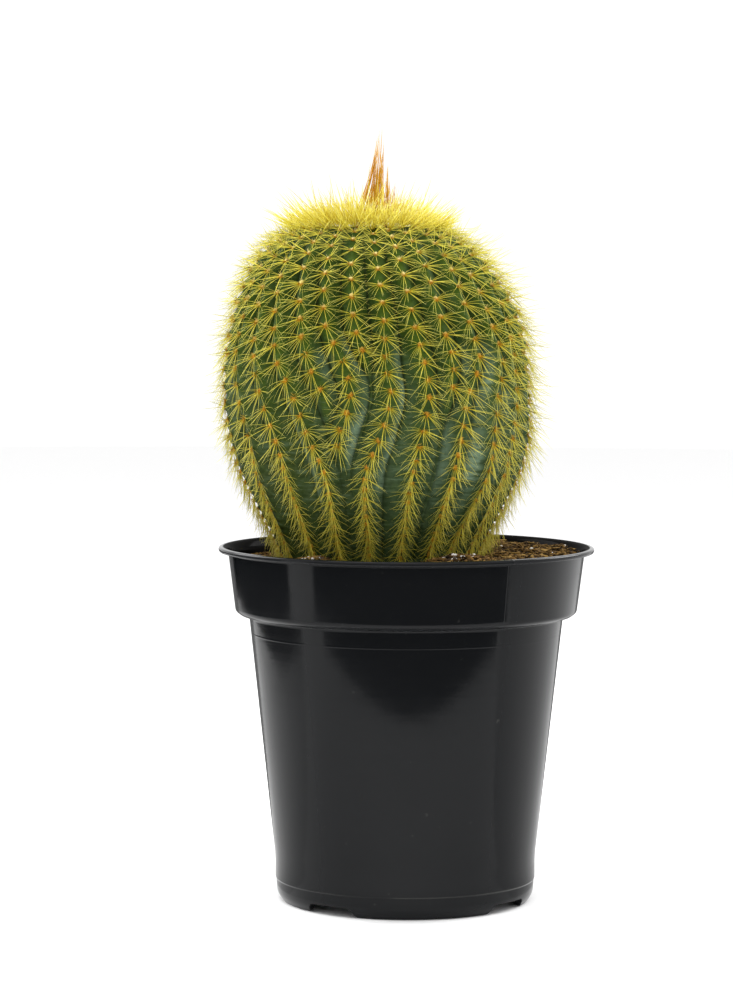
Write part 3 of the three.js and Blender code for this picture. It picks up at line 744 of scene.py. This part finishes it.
def mesh_of(name, points, faces, **carried):
    """Copies of one shape in one piece, from the points of each copy, in mm, the shape's faces and
    the values that each point carries."""
    count, each = points.shape[:2]
    faces = (faces[None] + (np.arange(count) * each)[:, None, None]).reshape(-1, 3)
    points = points.reshape(-1, 3) * MM
    mesh = bpy.data.meshes.new(name)
    mesh.vertices.add(len(points))
    mesh.vertices.foreach_set("co", points.astype(np.float32).ravel())
    mesh.loops.add(3 * len(faces))
    mesh.loops.foreach_set("vertex_index", faces.astype(np.int32).ravel())
    mesh.polygons.add(len(faces))
    mesh.polygons.foreach_set("loop_start", np.arange(0, 3 * len(faces), 3, dtype=np.int32))
    mesh.update(calc_edges=True)
    for key, values in carried.items():
        layer = mesh.attributes.new(key, "FLOAT", "POINT")
        layer.data.foreach_set("value", np.asarray(values, np.float32).ravel())
    mesh.shade_smooth()
    piece = bpy.data.objects.new(name, mesh)
    bpy.context.collection.objects.link(piece)
    return piece


SPINE_POINTS, SPINE_FACES = taken_shape(seed_spine)


class Bunch:
    """Spines that grow as one piece, or as a few by the height of their areoles."""

    def __init__(self):
        self.spines = []

    def add(self, foot, way, length, radius, bend, tint, height=0):
        """One spine, which bends aside by a share of its length at the tip."""
        self.spines.append((foot, way, length, radius, bend, tint, height))

    def grow(self, name, lowest=0, highest=400):
        chosen = [spine for spine in self.spines if lowest <= spine[-1] < highest]
        feet, ways, lengths, thick, bends, tint, _ = (np.array(values) for values in zip(*chosen))
        ways = ways / np.linalg.norm(ways, axis=1, keepdims=True)
        aside = np.cross(ways, (0.31, 0.52, 0.79))
        aside /= np.linalg.norm(aside, axis=1, keepdims=True)
        across = np.cross(ways, aside)
        x, y, t = SPINE_POINTS.T
        turn = np.arctan2(y, x)
        taper = 1 - 0.62 * t - 0.26 * np.maximum(0, t - 0.75) / 0.25
        ring = thick[:, None, None] * taper[None, :, None]
        points = (feet[:, None, :] + ways[:, None, :] * (t[None, :, None] * lengths[:, None, None])
                  + aside[:, None, :] * ring * np.cos(turn)[None, :, None]
                  + across[:, None, :] * ring * np.sin(turn)[None, :, None]
                  + (bends * lengths[:, None])[:, None, :] * (t ** 2)[None, :, None])
        return mesh_of(name, points, SPINE_FACES,
                       along=np.tile(t, len(feet)), tint=np.repeat(tint, len(t)))


def crest_frame(rib, way):
    """A place on a rib's crest, in mm: the point, out, up the rib, round it, and its height."""
    radius, height = (np.interp(way, line_way, line[:, k]) for k in (0, 1))
    ahead = np.array([np.interp(way + 0.5, line_way, line[:, k]) for k in (0, 1)])
    bearing, later = (math.radians(bearings_at(h)[rib]) for h in (height, ahead[1]))

    def at(b, r, h):
        return np.array([axis_at(h) + r * math.sin(b), -r * math.cos(b), h])
    point = at(bearing, radius, height)
    up = point - at(later, *ahead)
    up /= np.linalg.norm(up)
    side = np.array([math.cos(bearing), math.sin(bearing), 0])
    out = np.cross(side, up)
    out /= np.linalg.norm(out)
    return point, out, up, np.cross(up, out), height


AREOLE_LOWEST = 156.0
areoles = []
for rib in range(RIB_COUNT):
    for k in range(1, int(areoles_by[-1])):
        way = np.interp(k - shift[rib], areoles_by, line_way)
        point, out, up, side, height = crest_frame(rib, way)
        if height < max(AREOLE_LOWEST, RIB_ENDS[rib] - 2):
            break
        areoles.append((point + 0.2 * out, out, up, side, height))

DOWN = np.array([0, 0, -1.0])
# The longer spines, in pairs: how far aside from down the rib they slant, in radians, and how far
# they lean from straight out, in degrees. The first pair runs down the crest, the last stands out.
LONG_SLANTS = ((0.0, 0.4), (0.3, 1.0), (0.8, 1.5))
LONG_LEANS = ((54, 76), (36, 68), (26, 50))
rng = np.random.default_rng(31)
rib_spines = Bunch()
for point, out, up, side, height in areoles:
    lower = float(smooth(-height, -222, -190))
    near_soil = float(smooth(-height, -176, -160))
    crown = float(smooth(height, 266, 300))
    edge_on = abs(out[0])
    shorter = 1.3 * float(smooth(height, 238, 272)) * (1 - edge_on)
    right = float(smooth(point[0], 10, 36))
    short_length = 10.8 - 1.2 * lower - shorter - 2.4 * crown + 4.4 * crown * edge_on
    long_length = 13.2 - 3.2 * lower - 2.6 * near_soil - 3.2 * crown + 5.4 * crown * edge_on
    for hand in (-1, 1):
        # Thin short ones, fanned to each side from level to slanting down, close to the skin.
        count = 5 if lower > 0.6 else 8 if crown > 0.2 else 7
        for k in range(count):
            fan = 88 * (k + rng.uniform(-0.7, 0.7)) / (count - 1)
            slant = math.radians(28 + 2 * crown - 18 * lower - fan)
            across = hand * side * math.cos(slant) + up * (math.sin(slant) - 0.12 * lower)
            across = across / np.linalg.norm(across)
            lean = math.radians(66 - 10 * crown * edge_on + 8 * rng.standard_normal())
            way = out * math.cos(lean) + across * math.sin(lean)
            length = short_length * rng.uniform(0.70, 1.16) * (1 + 0.15 * right)
            bend = -rng.uniform(0.0, 0.16) * (1 - 0.7 * crown) * out - rng.uniform(0.06, 0.34) * up
            bend = bend + 0.06 * rng.standard_normal() * side
            foot = point + 0.5 * across * rng.random()
            radius = rng.uniform(0.085, 0.13) - 0.015 * crown
            # How far the spine darkens towards its tip: random tone, and painted shade that falls more
            # often low on the plant.
            tint = rng.uniform(0.35 + 0.1 * lower, 1.0)
            rib_spines.add(foot, way, length, radius, bend, tint, height)
    for k in range(6 if lower < 0.5 else 5):
        slant = rng.choice((-1, 1)) * rng.uniform(*LONG_SLANTS[k // 2])
        across = side * math.sin(slant) + up * (0.45 * crown - math.cos(slant))
        across = across / np.linalg.norm(across)
        lean = math.radians(rng.uniform(*LONG_LEANS[k // 2]))
        way = out * math.cos(lean) + across * math.sin(lean) + 0.35 * lower * DOWN
        length = long_length * rng.uniform(0.76, 1.04)
        length *= 1 + (0.30 + 0.20 * crown) * right * (k > 1)
        bend = 0.03 * rng.standard_normal() * side - rng.uniform(0.0, 0.06) * out
        bend = bend + 0.10 * lower * DOWN
        foot = point + 0.4 * across * rng.random()
        radius = rng.uniform(0.12, 0.17) - 0.01 * lower
        rib_spines.add(foot, way, length, radius, bend, rng.uniform(0, 0.45), height)
    for k in range(int(1.4 * lower + rng.random())):
        way = 0.45 * out + 0.5 * rng.standard_normal() * side - 0.6 * up + 0.5 * lower * DOWN
        bend = 0.25 * DOWN + 0.06 * rng.standard_normal() * side
        length = rng.uniform(9.0, 13.0) - 4.5 * near_soil
        rib_spines.add(point, way, length, rng.uniform(0.07, 0.10), bend, rng.random(), height)

golden = Finish("golden_spines", Roughness=0.45, IOR=1.45, Specular_IOR_Level=0.3)
along, shade = golden.own("along"), golden.own("tint")
colour = golden.ramp(
    along, (0.0, (0.56, 0.24, 0.008)), (0.10, (0.62, 0.40, 0.012)), (0.24, (0.63, 0.53, 0.034)),
    (0.7, (0.78, 0.71, 0.10)), (1.0, (0.90, 0.85, 0.24)),
)
level = golden.place("Z")
old = golden.mix(0.55 * (1 - level.smooth(0.16, 0.215)), colour, (0.54, 0.43, 0.030))
from_middle = (golden.place("X") + 0.018).unsigned()
yellow = (level + 0.28 * from_middle).smooth(0.277, 0.303) * along.smooth(0.05, 0.3) * 0.9
young = golden.mix(yellow, old, (0.95, 0.85, 0.11))
# Painted shade: many short side spines turn dark olive towards their tips, where they lie over the
# shaded grooves.
tip_shade = shade.smooth(0.40, 0.9) * (0.42 + 0.40 * along)
golden.set("Base Color", golden.mix(tip_shade, young, (0.26, 0.25, 0.014)))

for zone, lowest, highest in (("upper", 262, 400), ("middle", 222, 262), ("lower", 0, 222)):
    done(rib_spines.grow(f"spines_{zone}", lowest, highest), f"spines_{zone}", golden, "spines")

# ------------------------ areoles
# A small cushion of felt under each bunch of spines, orange-brown in its lower half and cream
# in its upper one, the cream partly a painted highlight from the light above, with short stiff
# hairs standing in it.

deselect()
bpy.ops.mesh.primitive_ico_sphere_add(subdivisions=1, radius=1)
ball_points, ball_faces = taken_shape(bpy.context.object)
rng = np.random.default_rng(8)
HAIRS_EACH = 10
cushions, blend, hairs = [], [], Bunch()
for point, out, up, side, height in areoles:
    size = (1.15 - 0.2 * float(smooth(-height, -215, -180))) * rng.uniform(0.85, 1.15)
    ruffle = 1 + 0.2 * rng.standard_normal(len(ball_points))[:, None]
    local = ball_points * ruffle * (size, 1.2 * size, 0.6 * size)
    cushions.append(point + local @ np.stack([side, up, out]))
    # Each cushion's upper half takes the painted highlight.
    blend.append(0.5 + 0.5 * ball_points[:, 1])
    for k in range(HAIRS_EACH):
        turn, away = rng.uniform(0, 6.28), rng.uniform(0.2, 0.9) * size
        across = side * math.sin(turn) + up * math.cos(turn)
        # Hairs that point up the rib take the painted highlight.
        hairs.add(point + away * across, out + rng.uniform(0.2, 1.1) * across, rng.uniform(1.0, 2.3),
                  rng.uniform(0.10, 0.17), np.zeros(3), 0.5 + 0.5 * math.cos(turn))
felt = Finish("areole_felt", Roughness=0.95, Specular_IOR_Level=0.1)
mottle = felt.noise(2600, 2, 0.6)
high = felt.place("Z").smooth(0.240, 0.298)
tone = felt.mix(mottle.smooth(0.35, 0.62), (0.26, 0.085, 0.010), (0.56, 0.29, 0.025))
pale = felt.mix(high, (0.52, 0.34, 0.05), (0.80, 0.68, 0.26))
# Cream on the upper side of each cushion and on its upward hairs is painted highlight from the light
# above; the mottle and the height add to it.
cream_and_highlight = (felt.own("tint") + 0.4 * high + 0.5 * mottle).smooth(0.75, 1.35)
felt.set("Base Color", felt.mix(cream_and_highlight, tone, pale))
felt.bump(mottle, 0.8, 0.3 * MM)
done(mesh_of("areoles", np.array(cushions), ball_faces, tint=blend), "areoles", felt, "areoles")
done(hairs.grow("areole_hairs"), "areole_hairs", felt, "areoles")

# ------------------------ crown
# The growing tip: a low dome of pale wool, and a thick brush of lemon-yellow spines that stands
# in it, upright in the middle and leaning outwards round its edge.

WOOL_RADIUS = 28.5
WOOL_DEPTH = 2.2
WOOL_CREST = ((0, 306.4), (9, 306.4), (18, 305.9), (25, 304.9), (28.5, 303.4))
deselect()
bpy.ops.mesh.primitive_uv_sphere_add(segments=96, ring_count=48, radius=WOOL_RADIUS)
wool = bpy.context.object
rng = np.random.default_rng(77)
for vertex in wool.data.vertices:
    away = math.hypot(vertex.co.x, vertex.co.y)
    high = np.interp(away, *zip(*WOOL_CREST)) + 0.35 * rng.standard_normal()
    depth = 0 if vertex.co.z > -1e-4 else WOOL_DEPTH
    vertex.co = ((vertex.co.x + CROWN_X) * MM, vertex.co.y * MM, (high - depth) * MM)
bpy.ops.object.shade_smooth()
woolly = Finish("crown_wool", Roughness=1.0, Sheen_Weight=0.5)
woolly.set("Base Color", woolly.mix(woolly.noise(400, 3), (0.50, 0.46, 0.20), (0.80, 0.77, 0.55)))
woolly.bump(woolly.noise(900, 3, 0.7), 1.0, 0.8 * MM)
done(wool, "crown_wool", woolly, "wool", "crown_spines")

CROWN_AREOLES, CROWN_EDGE, CROWN_SPINES = 200, 32.0, 9
GOLDEN_ANGLE = math.radians(137.508)
# The bristles leave a place for the tuft.
TUFT_AT, TUFT_CLEAR = -13.8, 4.5
rng = np.random.default_rng(52)
bristles = Bunch()
for k in range(CROWN_AREOLES):
    away = CROWN_EDGE * math.sqrt((k + 0.5) / CROWN_AREOLES)
    bearing = k * GOLDEN_ANGLE
    outwards = np.array([math.sin(bearing), -math.cos(bearing), 0])
    round_it = np.array([math.cos(bearing), math.sin(bearing), 0])
    foot = np.array([CROWN_X, 0, np.interp(away, *zip(*WOOL_CREST)) - 0.8]) + outwards * away
    if math.hypot(foot[0] - TUFT_AT, foot[1]) < TUFT_CLEAR:
        continue
    edge = away / CROWN_EDGE
    for n in range(CROWN_SPINES):
        lean = math.radians(60 * edge ** 1.15 + 11 * rng.standard_normal())
        aside = 0.22 * rng.standard_normal()
        way = outwards * math.sin(lean) + np.array([0, 0, math.cos(lean)]) + aside * round_it
        length = (12.5 + 2.5 * edge) * rng.uniform(0.5, 1.1)
        if rng.random() < 0.20:
            length += rng.uniform(2, 11)
        at = foot + 0.5 * rng.standard_normal() * outwards + 0.5 * rng.standard_normal() * round_it
        bend = 0.05 * rng.standard_normal(3)
        bristles.add(at, way, length, rng.uniform(0.19, 0.29), bend, rng.random())
lemon = Finish("lemon_spines", Roughness=0.45, IOR=1.45, Specular_IOR_Level=0.2)
along, shade = lemon.own("along"), lemon.own("tint")
colour = lemon.ramp(
    along, (0.0, (0.66, 0.50, 0.05)), (0.35, (0.86, 0.74, 0.085)), (0.8, (0.94, 0.86, 0.16)),
    (1.0, (0.97, 0.92, 0.42)),
)
# Some bristles are a deeper gold: partly their own tone and partly painted shade within the thick
# brush.
lemon.set("Base Color", lemon.mix(shade.smooth(0.50, 1.0) * 0.85, colour, (0.60, 0.44, 0.022)))
done(bristles.grow("crown_bristles"), "crown_bristles", lemon, "crown")

# ------------------------ tuft
# A bundle of long orange-brown spines that stands up from the middle of the crown, splayed at
# its foot and drawn together in strands towards its tip.

# The strands: foot and tip as seen from the front (x, height), how far its foot is behind, how far
# its middle bows aside, and its spines.
STRANDS = (
    ((-22.5, 311), (-12.6, 348.2), -1.5, 1.6, 8), ((-20.5, 310), (-12.9, 344.5), 3, 1.2, 7),
    ((-15.6, 309), (-12.4, 349.6), -3, 0.3, 8), ((-13.6, 309), (-10.9, 341.5), 2, -0.4, 6),
    ((-11.0, 309), (-12.2, 339), -4, 0.0, 7), ((-10.2, 309), (-9.6, 333.5), 3, 0.2, 5),
    ((-7.4, 309), (-9.0, 332.5), 0, -0.3, 5), ((-18.5, 309), (-14.8, 330), -4, 0.5, 6),
    ((-12.5, 309), (-11.3, 348.4), 0, 0.0, 4), ((-6.6, 309), (-5.2, 325), 1, 0.0, 5),
    ((-17.0, 309), (-13.4, 341), 5, 0.8, 6), ((-14.5, 309), (-12.0, 337), -5, 0.0, 7),
)
rng = np.random.default_rng(19)
tuft = Bunch()
for foot_at, tip_at, behind, bow, count in STRANDS:
    for n in range(count):
        tip = np.array([tip_at[0], 0.35 * behind, tip_at[1]])
        tip[:2] += 0.5 * rng.standard_normal(2)
        foot = np.array([foot_at[0], behind, foot_at[1]])
        foot[:2] += 0.9 * rng.standard_normal(2)
        reach = 1 if n == 0 else rng.uniform(0.6, 0.98)
        bend = np.array([-4 * bow, 0, 0]) * reach
        run = (tip - foot) * reach - bend
        length = np.linalg.norm(run)
        tuft.add(foot, run, length, rng.uniform(0.19, 0.34), bend / length, rng.random())
rust = Finish("orange_spines", Roughness=0.45, IOR=1.45, Specular_IOR_Level=0.25)
colour = rust.ramp(
    rust.own("along"), (0.0, (0.80, 0.58, 0.05)), (0.25, (0.68, 0.35, 0.010)),
    (0.7, (0.62, 0.28, 0.005)), (1.0, (0.66, 0.38, 0.03)),
)
rust.set("Base Color", rust.mix(rust.own("tint").smooth(0.5, 1.0) * 0.7, colour, (0.74, 0.47, 0.04)))
done(tuft.grow("crown_tuft_spines"), "crown_tuft_spines", rust, "tuft", "crown_tuft")

# ------------------------ potting mix
# Coir and bark with white perlite, in mm: one filled body, higher at the right and back, with a
# hollow for the plant and two heaps against its front. Loose crumbs, chips, fibres and grains lie
# on it, and a third of the grains on the heaps.

SOIL_LEVEL, SOIL_TILT, SOIL_TILT_BEARING = 155.2, 2.6, math.radians(100)
SOIL_FOOT, SOIL_EDGE, SOIL_REACH = 57.0, 77.7, 80.6
HOLLOW, HOLLOW_TOP = 40.0, 146
TOP, TOP_RINGS = 148, 34
HEAPS = ((-45, -45), (24, -52))


def soil_height(x, y):
    along = (x * math.sin(SOIL_TILT_BEARING) - y * math.cos(SOIL_TILT_BEARING)) / SOIL_REACH
    lumps = np.sin(0.23 * x + 1.1) * np.sin(0.19 * y + 0.4) + 0.5 * np.sin(0.41 * x - 0.37 * y)
    heaps = sum(4.6 * np.exp(-((x - a) ** 2 + (y - b) ** 2) / 220) for a, b in HEAPS)
    return SOIL_LEVEL + SOIL_TILT * along + 0.9 * lumps + heaps


deselect()
bpy.ops.mesh.primitive_circle_add(
    vertices=180, radius=SOIL_FOOT * MM, fill_type="NGON", location=(0, 0, 7.8 * MM),
)
soil = bpy.context.object
bpy.ops.object.transform_apply(location=True)
bpy.ops.object.mode_set(mode="EDIT")
# Up the wall of the pot, over the top towards the plant, and down into the hollow.
rings = [(57.3, 24), (69.0, 128.4), (74.6, 133), (SOIL_EDGE, TOP)]
rings += [(SOIL_EDGE - (SOIL_EDGE - HOLLOW) * k / TOP_RINGS, TOP) for k in range(1, TOP_RINGS + 1)]
rings += [(HOLLOW, HOLLOW_TOP), (20, 125)]
before = SOIL_FOOT
for radius, height in rings:
    bpy.ops.mesh.extrude_region_move()
    bpy.ops.transform.resize(value=(radius / before, radius / before, 1))
    shape = bmesh.from_edit_mesh(soil.data)
    for vertex in shape.verts:
        if vertex.select:
            vertex.co.z = height * MM
    bmesh.update_edit_mesh(soil.data)
    before = radius
faces_outwards()
rng = np.random.default_rng(3)
for vertex in soil.data.vertices:
    x, y, z = vertex.co / MM
    away = math.hypot(x, y)
    inward = min(1, max(0, (SOIL_EDGE - away) / (SOIL_EDGE - HOLLOW)))
    if z > TOP - 0.5:
        x += AXIS_FOOT * inward
        vertex.co = (x * MM, y * MM, (soil_height(x, y) + 0.5 * rng.standard_normal()) * MM)
    elif away < HOLLOW + 0.1 and z > 120:
        vertex.co.x = (x + AXIS_FOOT) * MM
earth = Finish("potting_mix", Roughness=0.95, Specular_IOR_Level=0.1)
grain = earth.noise(300, 4, 0.7)
clump = earth.noise(80, 3, 0.6)
tone = earth.mix(grain.smooth(0.35, 0.7), (0.014, 0.009, 0.005), (0.060, 0.036, 0.014))
earth.set("Base Color", earth.mix(clump.smooth(0.5, 0.75) * 0.6, tone, (0.11, 0.068, 0.026)))
earth.bump(grain, 1.0, 1.0 * MM)
done(soil, "soil_bed", earth, "soil", "potting_soil")


def scattered(name, count, seed_shape, sizes, lift, seed, thin=False, heaped=0.0):
    """Copies of one shape strewn over the soil, each turned and sized by the draw. The lift of
    their middles above it is a share of their least size."""
    rng = np.random.default_rng(seed)
    shape_points, shape_faces = seed_shape
    points, shade = [], []
    while len(points) < count:
        x, y = rng.uniform(-79, 79, 2)
        if rng.random() < heaped:
            x, y = np.array(HEAPS[rng.integers(2)]) + 5 * rng.standard_normal(2)
        if math.hypot(x, y) > SOIL_EDGE - 1.0 or math.hypot(x - AXIS_FOOT, y) < HOLLOW - 1.5:
            continue
        size = np.array([rng.uniform(*s) for s in sizes])
        spin = Matrix.Rotation(rng.uniform(0, 6.28), 3, "Z")
        roll = Matrix.Rotation(rng.uniform(-0.5, 0.5) if thin else rng.uniform(0, 6.28), 3, "X")
        ruffle = 1 + 0.14 * rng.standard_normal(len(shape_points))[:, None]
        local = (shape_points * ruffle * size) @ np.array((spin @ roll).transposed())
        points.append(local + (x, y, float(soil_height(x, y)) + size.min() * lift))
        shade.append(np.full(len(shape_points), rng.random()))
    return mesh_of(name, np.array(points), shape_faces, tint=shade)


ball = ball_points, ball_faces
deselect()
bpy.ops.mesh.primitive_cube_add(size=2)
bpy.ops.object.mode_set(mode="EDIT")
bpy.ops.mesh.bevel(offset=0.35, segments=1)
bpy.ops.object.mode_set(mode="OBJECT")
sliver = taken_shape(bpy.context.object)

crumbs = scattered("soil_crumbs", 3600, ball, ((0.5, 1.5), (0.4, 1.2), (0.4, 1.0)), 0.5, 101)
chips = scattered("bark_chips", 900, ball, ((1.0, 2.3), (0.5, 1.1), (0.3, 0.7)), 0.9, 102)
thread = ((1.0, 3.4), (0.12, 0.26), (0.12, 0.26))
fibres = scattered("coir_fibres", 1500, sliver, thread, 4.0, 103, thin=True)
grain_size = ((0.5, 1.2), (0.5, 1.0), (0.4, 0.8))
perlite = scattered("perlite", 84, ball, grain_size, 0.7, 104, heaped=0.35)
loose = Finish("crumb_mix", Roughness=0.95, Specular_IOR_Level=0.1)
loose.set("Base Color", loose.ramp(
    loose.own("tint"), (0.0, (0.012, 0.007, 0.003)), (0.45, (0.045, 0.026, 0.008)),
    (0.75, (0.125, 0.070, 0.019)), (1.0, (0.28, 0.165, 0.048)),
))
loose.bump(loose.noise(900, 3, 0.7), 0.8, 0.5 * MM)
bark = Finish("bark", Roughness=0.85, Specular_IOR_Level=0.15)
bark.set("Base Color", bark.ramp(
    bark.own("tint"), (0.0, (0.034, 0.018, 0.006)), (0.5, (0.17, 0.092, 0.024)),
    (1.0, (0.42, 0.26, 0.075)),
))
bark.bump(bark.noise(700, 3, 0.7, (1, 4, 1)), 0.8, 0.5 * MM)
white = Finish("perlite_grains", Roughness=0.9)
white.set("Base Color", white.mix(white.noise(600, 3), (0.62, 0.57, 0.50), (0.85, 0.83, 0.80)))
white.bump(white.noise(1200, 3), 0.8, 0.4 * MM)
done(crumbs, "soil_crumbs", loose, "soil")
done(chips, "bark_chips", bark, "soil")
done(fibres, "coir_fibres", bark, "soil")
done(perlite, "perlite", white, "perlite")
